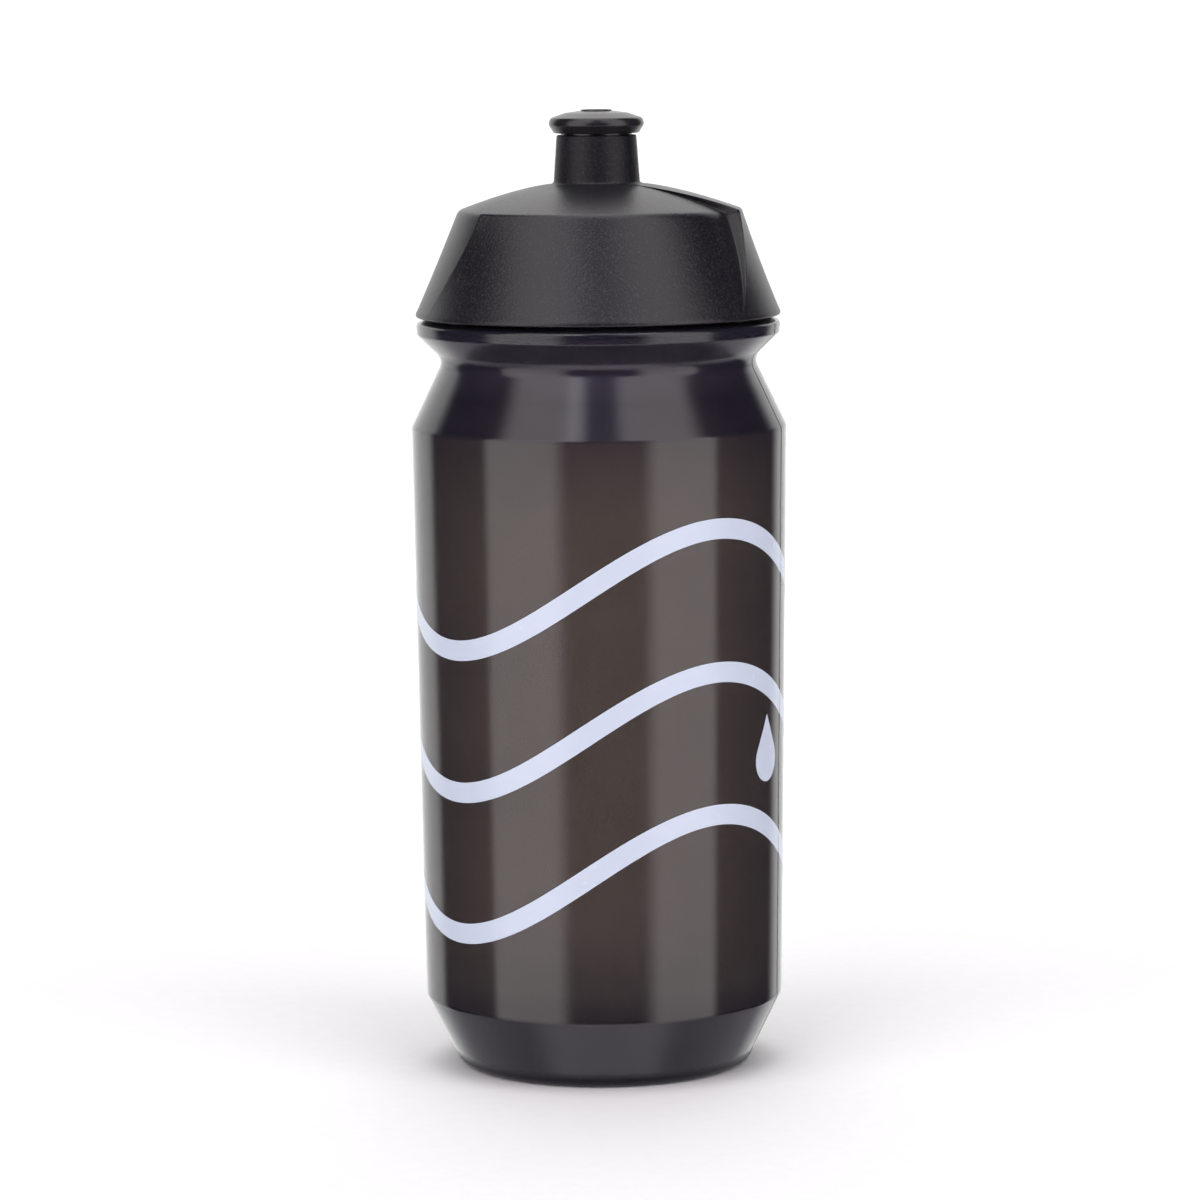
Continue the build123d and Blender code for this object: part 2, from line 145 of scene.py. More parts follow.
# ---- camera -----------------------------------------------------------------------------
CAMERA_X, CAMERA_DISTANCE, CAMERA_HEIGHT = -0.00015, 0.9604, 0.2133
CAMERA_PITCH, CAMERA_ROLL = 7.155, -0.54
CAMERA_LENS, CAMERA_SENSOR, CAMERA_CLIP = 145.8, 36.0, (0.05, 50.0)


# =========================================================================================
# Outlines and meshes
# =========================================================================================
def rounded(*corners, steps=7):
    """Outline from (r, z) or (r, z, fillet); a corner with a fillet becomes an arc."""
    points = [Vector(corner[:2]) for corner in corners]
    out = [points[0]]
    for i in range(1, len(points) - 1):
        corner = points[i]
        if len(corners[i]) == 2:
            out.append(corner)
            continue
        back = points[i - 1] - corner
        ahead = points[i + 1] - corner
        half = back.angle(ahead) / 2
        reach = min(corners[i][2] / math.tan(half), 0.49 * back.length, 0.49 * ahead.length)
        radius = reach * math.tan(half)
        centre = corner + (back.normalized() + ahead.normalized()).normalized() * (radius / math.sin(half))
        first = corner + back.normalized() * reach - centre
        sweep = first.angle_signed(corner + ahead.normalized() * reach - centre)
        for k in range(steps + 1):
            turn = -sweep * k / steps
            x = first.x * math.cos(turn) - first.y * math.sin(turn)
            y = first.x * math.sin(turn) + first.y * math.cos(turn)
            out.append(centre + Vector((x, y)))
    out.append(points[-1])
    return out


def divided(outline, longest):
    """The same outline with no stretch longer than that."""
    out = [outline[0]]
    for a, b in zip(outline, outline[1:]):
        count = max(1, math.ceil((b - a).length / longest))
        out.extend(a.lerp(b, k / count) for k in range(1, count + 1))
    return out


def divided_where(outline, radius, longest):
    """The same outline with its stretches at that radius divided, for a thread's ridge."""
    out = [outline[0]]
    for a, b in zip(outline, outline[1:]):
        straight = abs(a.x - radius) < 0.001 and abs(b.x - radius) < 0.001
        count = max(1, math.ceil((b - a).length / longest)) if straight else 1
        out.extend(a.lerp(b, k / count) for k in range(1, count + 1))
    return out


def place(r, azimuth, z):
    """Point in metres from a radius and height in millimetres and an azimuth in degrees."""
    angle = math.radians(azimuth - 90)
    return Vector((r * math.cos(angle), r * math.sin(angle), z)) * MM


def finish_mesh(name, bm, sharp_angle=40.0):
    """Object from a bmesh, shaded smooth with its creases sharp."""
    bmesh.ops.remove_doubles(bm, verts=bm.verts, dist=1e-8)
    bmesh.ops.dissolve_degenerate(bm, edges=bm.edges, dist=1e-9)
    bmesh.ops.recalc_face_normals(bm, faces=bm.faces)
    for face in bm.faces:
        face.smooth = True
    for edge in bm.edges:
        if len(edge.link_faces) == 2 and edge.calc_face_angle(0.0) > math.radians(sharp_angle):
            edge.smooth = False
    mesh = bpy.data.meshes.new(name)
    bm.to_mesh(mesh)
    bm.free()
    obj = bpy.data.objects.new(name, mesh)
    bpy.context.scene.collection.objects.link(obj)
    return obj


def grid_mesh(name, rows, close_rows, sharp_angle=40.0, marks=None):
    """Closed surface from rows of points that each run right round the axis; marks has a number
    for each row, kept in the attribute "inside"."""
    bm = bmesh.new()
    layer = bm.verts.layers.float.new("inside") if marks else None
    made = [[bm.verts.new(p) for p in row] for row in rows]
    if layer:
        for row, mark in zip(made, marks):
            for vertex in row:
                vertex[layer] = mark
    pairs = list(zip(made, made[1:]))
    if close_rows:
        pairs.append((made[-1], made[0]))
    for low, high in pairs:
        count = len(low)
        for j in range(count):
            k = (j + 1) % count
            bm.faces.new((low[j], low[k], high[k], high[j]))
    return finish_mesh(name, bm, sharp_angle)


def turned(name, outline, columns=192, close=True, shift=None, azimuths=None, marks=None):
    """Lathe of an outline of (radius, height); shift adds to a radius at (azimuth, r, z, row)."""
    if azimuths is None:
        azimuths = [360.0 * j / columns for j in range(columns)]
    rows = []
    for i, p in enumerate(outline):
        row = []
        for azimuth in azimuths:
            r = p.x + (shift(azimuth, p.x, p.y, i) if shift else 0.0)
            row.append(place(r, azimuth, p.y))
        rows.append(row)
    return grid_mesh(name, rows, close, marks=marks)


def smooth_step(x):
    """0 below 0, 1 above 1, smooth between."""
    x = min(1.0, max(0.0, x))
    return x * x * (3 - 2 * x)


def thread_height(azimuth, z, start_z, lag, turns, root_half, crest_half):
    """Share of a thread's full height at that place, with ends that taper away."""
    # the CAD's helix starts on +X, which is azimuth 90, and climbs anticlockwise from above
    phase = ((azimuth - 90.0) / 360.0) % 1.0
    best = 0.0
    for lap in range(-1, int(turns) + 3):
        along = phase + lap - lag
        if along < 0.0 or along > turns:
            continue
        off = abs(z - (start_z + LEAD * along))
        flank = (root_half - off) / (root_half - crest_half)
        ends = min(along, turns - along) / THREAD_TAPER_TURNS
        best = max(best, smooth_step(flank) * smooth_step(ends))
    return best


# =========================================================================================
# Pieces
# =========================================================================================
def body_piece():
    """Blow-moulded shell: recessed base, tapering sides, waist, bead and threaded neck."""
    outer = rounded(
        (0, PUNT_HEIGHT),
        (PUNT_FLAT_R, PUNT_HEIGHT - PUNT_FLAT_DROP, PUNT_FILLET),
        (PUNT_R, 0, PUNT_EDGE_FILLET),
        (FOOT_R, 0, FOOT_FILLET),
        (CHAMFER_R, CHAMFER_Z, CHAMFER_FILLET),
        (SHOULDER_R, SHOULDER_Z, SHOULDER_FILLET),
        (WAIST_R, WAIST_Z, WAIST_FILLET),
        (BEAD_LOW_R, BEAD_LOW_Z, BEAD_LOW_FILLET),
        (BEAD_R, BEAD_TOP_Z, BEAD_TOP_FILLET),
        (FLANGE_R, FLANGE_Z, FLANGE_FILLET),
        (NECK_R, FLANGE_Z, FLANGE_FILLET),
        (NECK_R, LIP_Z, LIP_FILLET),
        (NECK_BORE_R, LIP_Z),
        steps=9,
    )
    outer = divided_where(divided(outer, longest=4.0), NECK_R, longest=0.3)
    inner = rounded(
        (NECK_BORE_R, LIP_Z),
        (NECK_BORE_R, CAVITY_BEAD_TOP_Z, CAVITY_NECK_FILLET),
        (CAVITY_BEAD_R, CAVITY_BEAD_TOP_Z, CAVITY_BEAD_TOP_FILLET),
        (CAVITY_BEAD_R, CAVITY_BEAD_LOW_Z, CAVITY_BEAD_LOW_FILLET),
        (CAVITY_WAIST_R, CAVITY_WAIST_Z, CAVITY_WAIST_FILLET),
        (SHOULDER_R - BODY_WALL, CAVITY_SHOULDER_Z, CAVITY_CORNER_FILLET),
        (CHAMFER_R - BODY_WALL, CAVITY_CHAMFER_Z, CAVITY_CORNER_FILLET),
        (CAVITY_FOOT_R, BODY_WALL, CAVITY_FOOT_FILLET),
        (CAVITY_PUNT_EDGE_R, BODY_WALL, CAVITY_PUNT_FILLET),
        (CAVITY_PUNT_R, PUNT_HEIGHT + BODY_WALL - PUNT_FLAT_DROP, PUNT_FILLET),
        (0, PUNT_HEIGHT + BODY_WALL),
    )
    outer_rows = len(outer)
    azimuths = [360.0 * i / BODY_COLUMNS for i in range(BODY_COLUMNS)]
    for seam in SEAM_AZIMUTHS:
        azimuths = [a for a in azimuths if abs(a - seam) > 1.25 * SEAM_WIDTH]
        azimuths.extend(seam + share * SEAM_WIDTH for share in SEAM_COLUMNS)
    azimuths.sort()
    thread_low = NECK_THREAD_Z - THREAD_REACH
    thread_high = NECK_THREAD_Z + LEAD * NECK_TURNS + THREAD_REACH

    def shift(azimuth, r, z, row):
        if row >= outer_rows or r < 1:
            return 0.0
        lift = 0.0
        for seam in SEAM_AZIMUTHS:
            off = abs(azimuth - seam) / SEAM_WIDTH
            if off < 1.0 and z < BEAD_TOP_Z and r > FOOT_R - 2:
                lift += SEAM_HEIGHT * (1 - off) ** 2
        if thread_low < z < thread_high and abs(r - NECK_R) < 0.01:
            lift += (NECK_CREST_R - NECK_R) * thread_height(
                azimuth, z, NECK_THREAD_Z, 0.0, NECK_TURNS, NECK_RIDGE_ROOT, NECK_RIDGE_CREST
            )
        return lift

    marks = [0.0] * outer_rows + [1.0] * len(inner)
    return turned("bottle_shell", outer + inner, close=False, shift=shift, azimuths=azimuths, marks=marks)


def blade_height(s):
    """Height of a blade over its trailing end, from 1 at its leading edge to 0 at its end."""
    return (1 - s) * (BLADE_EVEN + BLADE_CREST * math.exp(-s / BLADE_CREST_LENGTH))


def cap_columns():
    """Columns of one blade: (share along the blade, offset in mm, share of the height)."""
    columns = [(0.0, offset, height) for offset, height in WALL_COLUMNS]
    for k in range(BLADE_COLUMNS):
        s = BLADE_START + (1 - BLADE_START) * (k / BLADE_COLUMNS) ** BLADE_SPACING
        columns.append((s, 0.0, blade_height(s)))
    return columns


def resampled(line, count):
    """count points evenly spaced along a line of (r, z, swing) tuples."""
    lengths = [0.0]
    for a, b in zip(line, line[1:]):
        lengths.append(lengths[-1] + math.hypot(b[0] - a[0], b[1] - a[1]))
    out = []
    i = 0
    for k in range(count):
        target = lengths[-1] * k / (count - 1)
        while i < len(line) - 2 and lengths[i + 1] < target:
            i += 1
        span = lengths[i + 1] - lengths[i]
        f = 0.0 if span == 0 else (target - lengths[i]) / span
        out.append(tuple(a + (b - a) * f for a, b in zip(line[i], line[i + 1])))
    return out


def eased(start, corner, end, steps):
    """Points of a curve that leaves start towards a corner and arrives at end from it."""
    out = []
    for k in range(1, steps):
        f = k / steps
        out.append(start.lerp(corner, f).lerp(corner.lerp(end, f), f))
    return out


def cap_profile(share, height):
    """One column's outer profile as (radius, z, azimuth of the leading edge there), from the
    dome's foot beside the spout, over the crease and down the skirt to the rim."""
    crease_r = CREASE_R + CREASE_STEP * height
    crease_z = CREASE_Z + CREASE_RISE * height
    if share > 0.0:
        crease_z = CREASE_Z + CREASE_RISE - CREASE_FALL * share - CREASE_END_FALL * share ** CREASE_END_POWER
    dome = []
    for k in range(PROFILE_STEPS):
        u = 1 - k / PROFILE_STEPS
        r = crease_r + (DOME_R - crease_r) * u
        z = crease_z + (DOME_Z - crease_z) * (1 - (1 - u) ** DOME_RISE_POWER)
        dome.append((r, z, CREASE_AZIMUTH - (CREASE_AZIMUTH - SPOUT_AZIMUTH) * u ** DOME_SWING_POWER))
    skirt = []
    for k in range(1, PROFILE_STEPS):
        t = 1 - k / PROFILE_STEPS
        z = SKIRT_Z + (crease_z - SKIRT_Z) * t
        r = SKIRT_R + (CREASE_R - SKIRT_R) * t + CREASE_STEP * height * t ** SKIRT_STEP_POWER
        swing = (CREASE_AZIMUTH - SKIRT_AZIMUTH) * (1 - t) ** SKIRT_SWING_POWER
        skirt.append((r, z, CREASE_AZIMUTH - swing))
    crease = Vector((crease_r, crease_z))
    reach = CREASE_ROUND + CREASE_ROUND_GROWTH * share
    dome = [p for p in dome if (Vector(p[:2]) - crease).length > reach]
    skirt = [p for p in skirt if (Vector(p[:2]) - crease).length > reach and p[1] > SKIRT_Z + RIM_ROUND]
    start = crease + (Vector(dome[-1][:2]) - crease).normalized() * reach
    end = crease + (Vector(skirt[0][:2]) - crease).normalized() * reach
    curve = [(p.x, p.y, CREASE_AZIMUTH) for p in eased(start, crease, end, 8)]
    dome.append((start.x, start.y, CREASE_AZIMUTH))
    skirt.insert(0, (end.x, end.y, CREASE_AZIMUTH))
    rim_start = Vector((SKIRT_R - 0.4 * RIM_ROUND, SKIRT_Z + RIM_ROUND))
    rim_corner = Vector((SKIRT_R, SKIRT_Z))
    rim_end = Vector((SKIRT_R - RIM_ROUND, SKIRT_Z))
    skirt.append((rim_start.x, rim_start.y, SKIRT_AZIMUTH))
    rim = [(p.x, p.y, SKIRT_AZIMUTH) for p in eased(rim_start, rim_corner, rim_end, 7)]
    rim.append((rim_end.x, rim_end.y, SKIRT_AZIMUTH))
    return resampled(dome, DOME_ROWS) + curve + resampled(skirt, SKIRT_ROWS) + rim


def cap_inside():
    """Outline of the cap's inner side, from the rim to the step in the spout's bore."""
    slope = (SKIRT_R - CREASE_R) / (CREASE_Z - SKIRT_Z)
    inner_r = SKIRT_R - CAP_WALL
    collar_top = SKIRT_Z + (inner_r - COLLAR_R) / slope
    outline = rounded(
        (SKIRT_R - RIM_ROUND, SKIRT_Z),
        (inner_r, SKIRT_Z, 0.3),
        (COLLAR_R, collar_top - COLLAR_SLOPE_DROP, 0.8),
        (COLLAR_R, COLLAR_Z, 0.3),
        (CAP_ROOT_R, COLLAR_Z, 0.3),
        (CAP_ROOT_R, SHELF_SLOPE_Z),
        (SHELF_R, SHELF_Z, 0.2),
        (PLUG_OUTER_R, SHELF_Z, 0.3),
        (PLUG_OUTER_R, PLUG_Z, 0.4),
        (PLUG_INNER_R, PLUG_Z, 0.4),
        (PLUG_INNER_R, HOLLOW_EDGE_Z, 0.8),
        (HOLLOW_MID_R, HOLLOW_MID_Z, 3.0),
        (BOSS_OUTER_R, HOLLOW_TOP_Z, 0.6),
        (BOSS_OUTER_R, BOSS_Z, 0.2),
        (BOSS_R, BOSS_Z),
        (BOSS_R, BOSS_SHOULDER_Z),
        (SPOUT_CHAMBER_R, BOSS_SHOULDER_Z),
        (SPOUT_CHAMBER_R, SPOUT_CHAMBER_Z),
        (SPOUT_LAND_R, SPOUT_LAND_LOW_Z),
        steps=4,
    )
    return divided_where(outline, CAP_ROOT_R, longest=0.35)[1:]


def cap_piece():
    """Cap in one closed skin: spout, dome and skirt outside; collar, shelf and plug lip inside."""
    spout = rounded(
        (SPOUT_LAND_R, SPOUT_LAND_Z),
        (SPOUT_LAND_R, SPOUT_TOP_Z, 0.15),
        (SPOUT_TOP_R, SPOUT_TOP_Z, 0.22),
        (SPOUT_LOW_R, DOME_Z + 0.3, 0.6),
        (DOME_R, DOME_Z),
        steps=5,
    )
    spout = divided(spout, longest=1.5)[:-1]
    inside = cap_inside()
    turn = 360.0 / BLADES
    columns = []
    for blade in range(BLADES):
        for share, offset, height in cap_columns():
            profile = cap_profile(share, height)
            column = [(p.x, profile[0][2], FADED, p.y) for p in spout]
            for r, z, swing in profile:
                grown = min(smooth_step((r - DOME_R) / FADE_DOME), smooth_step((z - SKIRT_Z) / FADE_SKIRT))
                column.append((r, swing, max(FADED, grown), z))
            column.extend((p.x, SKIRT_AZIMUTH, FADED, p.y) for p in inside)
            placed = []
            for r, swing, grown, z in column:
                wall = math.degrees(offset * grown / max(r, 8.0))
                azimuth = swing + blade * turn + share * (turn - WALL_TURN * grown) + wall
                if abs(r - CAP_ROOT_R) < 0.001:
                    r -= (CAP_ROOT_R - CAP_CREST_R) * thread_height(
                        azimuth, z, CAP_THREAD_Z, CAP_LAG, CAP_TURNS, CAP_RIDGE_ROOT, CAP_RIDGE_CREST
                    )
                placed.append(place(r, azimuth, z))
            columns.append(placed)
    rows = [list(row) for row in zip(*columns)]
    return grid_mesh("cap_shell", rows, True, sharp_angle=38)


def seal_piece():
    """Flat ring under the cap's shelf."""
    low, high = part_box("seal_ring")
    outer, bottom, top = high.x / MM, low.z / MM, high.z / MM
    inner = outer - SEAL_WIDTH
    outline = rounded(
        (inner + 1, bottom),
        (outer, bottom, SEAL_FILLET),
        (outer, top, SEAL_FILLET),
        (inner, top, SEAL_FILLET),
        (inner, bottom, SEAL_FILLET),
        (inner + 1, bottom),
        steps=4,
    )[:-1]
    return turned("seal", outline, columns=144)


def pin_piece():
    """Centre pin with a dished tip on three spokes inside its ring."""
    low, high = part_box("centre_pin")
    bottom, top = low.z / MM, high.z / MM
    pin = rounded(
        (0, bottom),
        (PIN_R, bottom, 0.2),
        (PIN_R, PIN_NECK_Z),
        (PIN_TIP_R, PIN_TIP_Z),
        (PIN_TIP_R, top, PIN_RIM_FILLET),
        (PIN_DISH_R, top, 0.2),
        (PIN_DISH_FLOOR_R, top - PIN_DISH_DEPTH, 0.3),
        (0, top - PIN_DISH_MIDDLE),
        steps=6,
    )
    obj = turned("pin", divided(pin, longest=2.0), columns=72, close=False)
    ring = rounded(
        (RING_INNER_R + 0.8, bottom),
        (RING_R, bottom, 0.2),
        (RING_R, RING_TOP_Z, EDGE),
        (RING_INNER_R, RING_TOP_Z, 0.2),
        (RING_INNER_R, bottom, 0.2),
        (RING_INNER_R + 0.8, bottom),
        steps=3,
    )[:-1]
    ring_obj = turned("pin_ring", ring, columns=96)
    height = RING_TOP_Z - bottom
    bm = bmesh.new()
    for k in range(SPOKES):
        made = bmesh.ops.create_cube(bm, size=1.0)
        turn = Matrix.Rotation(math.radians(SPOKE_AZIMUTH + 360 / SPOKES * k), 4, "Z")
        move = Matrix.Translation(Vector((SPOKE_R, 0, bottom + height / 2)) * MM)
        scale = Matrix.Diagonal((SPOKE_LENGTH * MM, SPOKE_WIDTH * MM, height * MM, 1.0))
        bmesh.ops.transform(bm, matrix=turn @ move @ scale, verts=made["verts"])
    bmesh.ops.bevel(bm, geom=bm.edges[:], offset=SPOKE_ROUND * MM, segments=2, affect="EDGES")
    spokes = finish_mesh("pin_spokes", bm)
    return [obj, ring_obj, spokes]


def stem_piece():
    """Stiff sliding tube of the valve."""
    outline = rounded(
        (STEM_R - 1, STEM_Z),
        (STEM_R, STEM_Z, EDGE),
        (STEM_BEAD_R, STEM_Z + STEM_BEAD_SLOPE, EDGE),
        (STEM_BEAD_R, STEM_BEAD_TOP_Z - STEM_BEAD_SLOPE, EDGE),
        (STEM_R, STEM_BEAD_TOP_Z),
        (STEM_R, STEM_FLANGE_Z, EDGE),
        (STEM_FLANGE_R, STEM_FLANGE_Z),
        (STEM_FLANGE_R, STEM_TOP_Z),
        (STEM_BORE_R, STEM_TOP_Z),
        (STEM_BORE_R, STEM_Z, 0.15),
        (STEM_R - 1, STEM_Z),
        steps=3,
    )[:-1]
    return turned("valve_tube", divided(outline, longest=2.0), columns=120)


def mouthpiece_piece():
    """Soft button-shaped head of the valve."""
    outline = rounded(
        (STEM_R + 0.6, HEAD_Z),
        (HEAD_LOW_R, HEAD_Z, HEAD_LOW_FILLET),
        (HEAD_R, HEAD_R_Z, HEAD_FILLET),
        (HEAD_SHOULDER_R, HEAD_SHOULDER_Z, HEAD_SHOULDER_FILLET),
        (HEAD_CROWN_R, HEAD_CROWN_Z, HEAD_CROWN_FILLET),
        (HEAD_HOLE_R, HEAD_TOP_Z, HEAD_HOLE_FILLET),
        (HEAD_HOLE_R, STEM_TOP_Z),
        (STEM_FLANGE_R, STEM_TOP_Z),
        (STEM_FLANGE_R, STEM_FLANGE_Z),
        (STEM_R, STEM_FLANGE_Z),
        (STEM_R, HEAD_Z),
        (STEM_R + 0.6, HEAD_Z),
        steps=9,
    )[:-1]
    return turned("valve_head", outline, columns=160)


# =========================================================================================
# Print: flat ink on the body's side
# =========================================================================================
def side_r(z):
    """Outer radius of the tapering side at height z."""
    return CHAMFER_R + (SHOULDER_R - CHAMFER_R) * (z - CHAMFER_Z) / (SHOULDER_Z - CHAMFER_Z)


def ink_strip(name, lines):
    """Closed thin film from lines of (azimuth, z) that run along it, side by side."""
    bm = bmesh.new()
    top = [[bm.verts.new(place(side_r(z) + INK_LIFT, a, z)) for a, z in line] for line in lines]
    low = [
        [bm.verts.new(place(side_r(z) - INK_LIFT, a, z)) for a, z in line]
        for line in (lines[0], lines[-1])
    ]
    skins = top + [low[1], low[0]]
    for a, b in zip(skins, skins[1:] + skins[:1]):
        for i in range(len(a)):
            k = (i + 1) % len(a)
            bm.faces.new((a[i], a[k], b[k], b[i]))
    return finish_mesh(name, bm, 50)


def wave_band(name, middle):
    """Band of even width along a wave that closes on itself round the body."""
    centre = []
    for i in range(BAND_SAMPLES):
        azimuth = 360.0 * i / BAND_SAMPLES
        z = middle + WAVE_RISE * math.sin(math.radians(WAVE_PERIODS * (azimuth - WAVE_PHASE)))
        centre.append((azimuth, z))
    lines = []
    for side in BAND_LINES:
        line = []
        for i, (azimuth, z) in enumerate(centre):
            before, after = centre[i - 1], centre[(i + 1) % BAND_SAMPLES]
            step = (after[0] - before[0]) % 360.0
            along = math.radians(step) * side_r(z)
            up = after[1] - before[1]
            length = math.hypot(along, up)
            move = side * BAND_WIDTH
            line.append((azimuth - math.degrees(move * up / length / side_r(z)), z + move * along / length))
        lines.append(line)
    return ink_strip(name, lines)


def drop_mark():
    """Plain water drop, filled."""
    bm = bmesh.new()
    height = DROP_R + DROP_TIP
    touch = math.asin(DROP_R / DROP_TIP)
    tops, lows = [], []
    for i in range(DROP_ROWS + 1):
        f = (1 - math.cos(math.pi * i / DROP_ROWS)) / 2
        z = -DROP_R + height * f
        if z < DROP_R * math.sin(touch):
            half = math.sqrt(max(DROP_R ** 2 - z ** 2, 0.0))
        else:
            half = (DROP_TIP - z) * math.tan(touch)
        half = max(half, 0.0)
        top_row, low_row = [], []
        for j in range(DROP_COLUMNS + 1):
            x = -half + 2 * half * j / DROP_COLUMNS
            body_r = side_r(DROP_Z + z)
            azimuth = DROP_AZIMUTH + math.degrees(x / body_r)
            top_row.append(bm.verts.new(place(body_r + INK_LIFT, azimuth, DROP_Z + z)))
            low_row.append(bm.verts.new(place(body_r - INK_LIFT, azimuth, DROP_Z + z)))
        tops.append(top_row)
        lows.append(low_row)
    for i in range(DROP_ROWS):
        for j in range(DROP_COLUMNS):
            bm.faces.new((tops[i][j], tops[i][j + 1], tops[i + 1][j + 1], tops[i + 1][j]))
            bm.faces.new((lows[i][j], lows[i + 1][j], lows[i + 1][j + 1], lows[i][j + 1]))
        bm.faces.new((tops[i][0], tops[i + 1][0], lows[i + 1][0], lows[i][0]))
        bm.faces.new((tops[i][-1], lows[i][-1], lows[i + 1][-1], tops[i + 1][-1]))
    return finish_mesh("print_drop", bm, 50)


# =========================================================================================
# Materials
# =========================================================================================
def new_material(name):
    """Material with its node tree, its shader and its object coordinates."""
    material = bpy.data.materials.new(name)
    material.use_nodes = True
    tree = material.node_tree
    shader = tree.nodes["Principled BSDF"]
    coords = tree.nodes.new("ShaderNodeTexCoord")
    return material, tree, shader, coords.outputs["Object"]


def noise(tree, coords, scale, detail=2.0, rough=0.5):
    """Noise texture in object space; returns its factor."""
    node = tree.nodes.new("ShaderNodeTexNoise")
    node.inputs["Scale"].default_value = scale
    node.inputs["Detail"].default_value = detail
    node.inputs["Roughness"].default_value = rough
    tree.links.new(coords, node.inputs["Vector"])
    return node.outputs["Fac"]


def ramp(tree, value, stops):
    """Colour ramp over a value; stops are (place, colour)."""
    node = tree.nodes.new("ShaderNodeValToRGB")
    while len(node.color_ramp.elements) < len(stops):
        node.color_ramp.elements.new(0.5)
    for element, (where, colour) in zip(node.color_ramp.elements, stops):
        element.position = where
        element.color = (*colour, 1.0)
    tree.links.new(value, node.inputs["Fac"])
    return node.outputs["Color"]


def cloudy(tree, cloud, low, high):
    """Colour that drifts between two shades with a cloud noise."""
    return ramp(tree, cloud, [(0.3, low), (0.75, high)])


def spread(tree, value, low, high):
    """Value from 0 to 1 taken to the range low to high."""
    node = tree.nodes.new("ShaderNodeMapRange")
    node.inputs["To Min"].default_value = low
    node.inputs["To Max"].default_value = high
    tree.links.new(value, node.inputs["Value"])
    return node.outputs["Result"]


def bump(tree, shader, value, strength, distance):
    """Bump on the shader's normal."""
    node = tree.nodes.new("ShaderNodeBump")
    node.inputs["Strength"].default_value = strength
    node.inputs["Distance"].default_value = distance
    tree.links.new(value, node.inputs["Height"])
    tree.links.new(node.outputs["Normal"], shader.inputs["Normal"])


def math_node(tree, operation, a, b):
    """Math node on two sockets or numbers."""
    node = tree.nodes.new("ShaderNodeMath")
    node.operation = operation
    for value, socket in ((a, node.inputs[0]), (b, node.inputs[1])):
        if isinstance(value, (int, float)):
            socket.default_value = value
        else:
            tree.links.new(value, socket)
    return node.outputs["Value"]


def ease(tree, value, low, high, smooth=False):
    """0 where the value is low and 1 where it is high, with a straight or smooth step between."""
    node = tree.nodes.new("ShaderNodeMapRange")
    if smooth:
        node.interpolation_type = "SMOOTHSTEP"
    node.inputs["From Min"].default_value = low
    node.inputs["From Max"].default_value = high
    tree.links.new(value, node.inputs["Value"])
    return node.outputs["Result"]


def rise(tree, coords, low, high):
    """0 at the height low and 1 at the height high, in mm; low may be above high."""
    split = tree.nodes.new("ShaderNodeSeparateXYZ")
    tree.links.new(coords, split.inputs["Vector"])
    return ease(tree, split.outputs["Z"], low * MM, high * MM)


def ends_zone(tree, coords, base, shoulder):
    """0 on the tapering side and 1 on the base and the shoulder; each end is (z at 0, z at 1)."""
    return math_node(tree, "ADD", rise(tree, coords, *base), rise(tree, coords, *shoulder))


def mix_colour(tree, factor, a, b):
    """Mix of two colours or sockets."""
    node = tree.nodes.new("ShaderNodeMix")
    node.data_type = "RGBA"
    tree.links.new(factor, node.inputs["Factor"])
    for value, place_at in ((a, node.inputs[6]), (b, node.inputs[7])):
        if isinstance(value, tuple):
            place_at.default_value = (*value, 1.0)
        else:
            tree.links.new(value, place_at)
    return node.outputs[2]


def mix_value(tree, factor, a, b):
    """Mix of two value sockets."""
    node = tree.nodes.new("ShaderNodeMix")
    node.data_type = "FLOAT"
    tree.links.new(factor, node.inputs["Factor"])
    tree.links.new(a, node.inputs[2])
    tree.links.new(b, node.inputs[3])
    return node.outputs[0]


SMOKE_SIDE = (0.90, 0.88, 0.87), (0.97, 0.95, 0.94)
# painted shade: the see-through side darkens and turns bluer towards the base and the shoulder
SMOKE_NEAR_END_SHADE = (0.62, 0.60, 0.68), (0.68, 0.66, 0.74)
SMOKE_END = (0.31, 0.31, 0.47), (0.36, 0.36, 0.53)
# painted light: the see-through waist, bead and neck are made lighter than the shoulder below them
SMOKE_NECK_PAINTED_LIGHT = (0.60, 0.59, 0.86), (0.65, 0.64, 0.92)
SMOKE_ABSORPTION, SMOKE_DENSITY = (0.18, 0.07, 0.02, 1.0), 1500.0
BASE_EDGE, SHOULDER_EDGE = (CHAMFER_Z + 0.2, CHAMFER_Z - 0.4), (SHOULDER_Z - 0.5, SHOULDER_Z + 0.3)
# heights, in mm, over which the painted shade grows towards the base and the shoulder
BASE_SHADE, SHOULDER_SHADE = (20.0, CHAMFER_Z - 0.4), (113.0, SHOULDER_Z + 0.3)
# heights, in mm, over which the painted light on the waist and the neck comes in
NECK_PAINTED_LIGHT_ZONE = (134.5, 139.5)
FOOT_SCUFF = (3.5, 1.5)


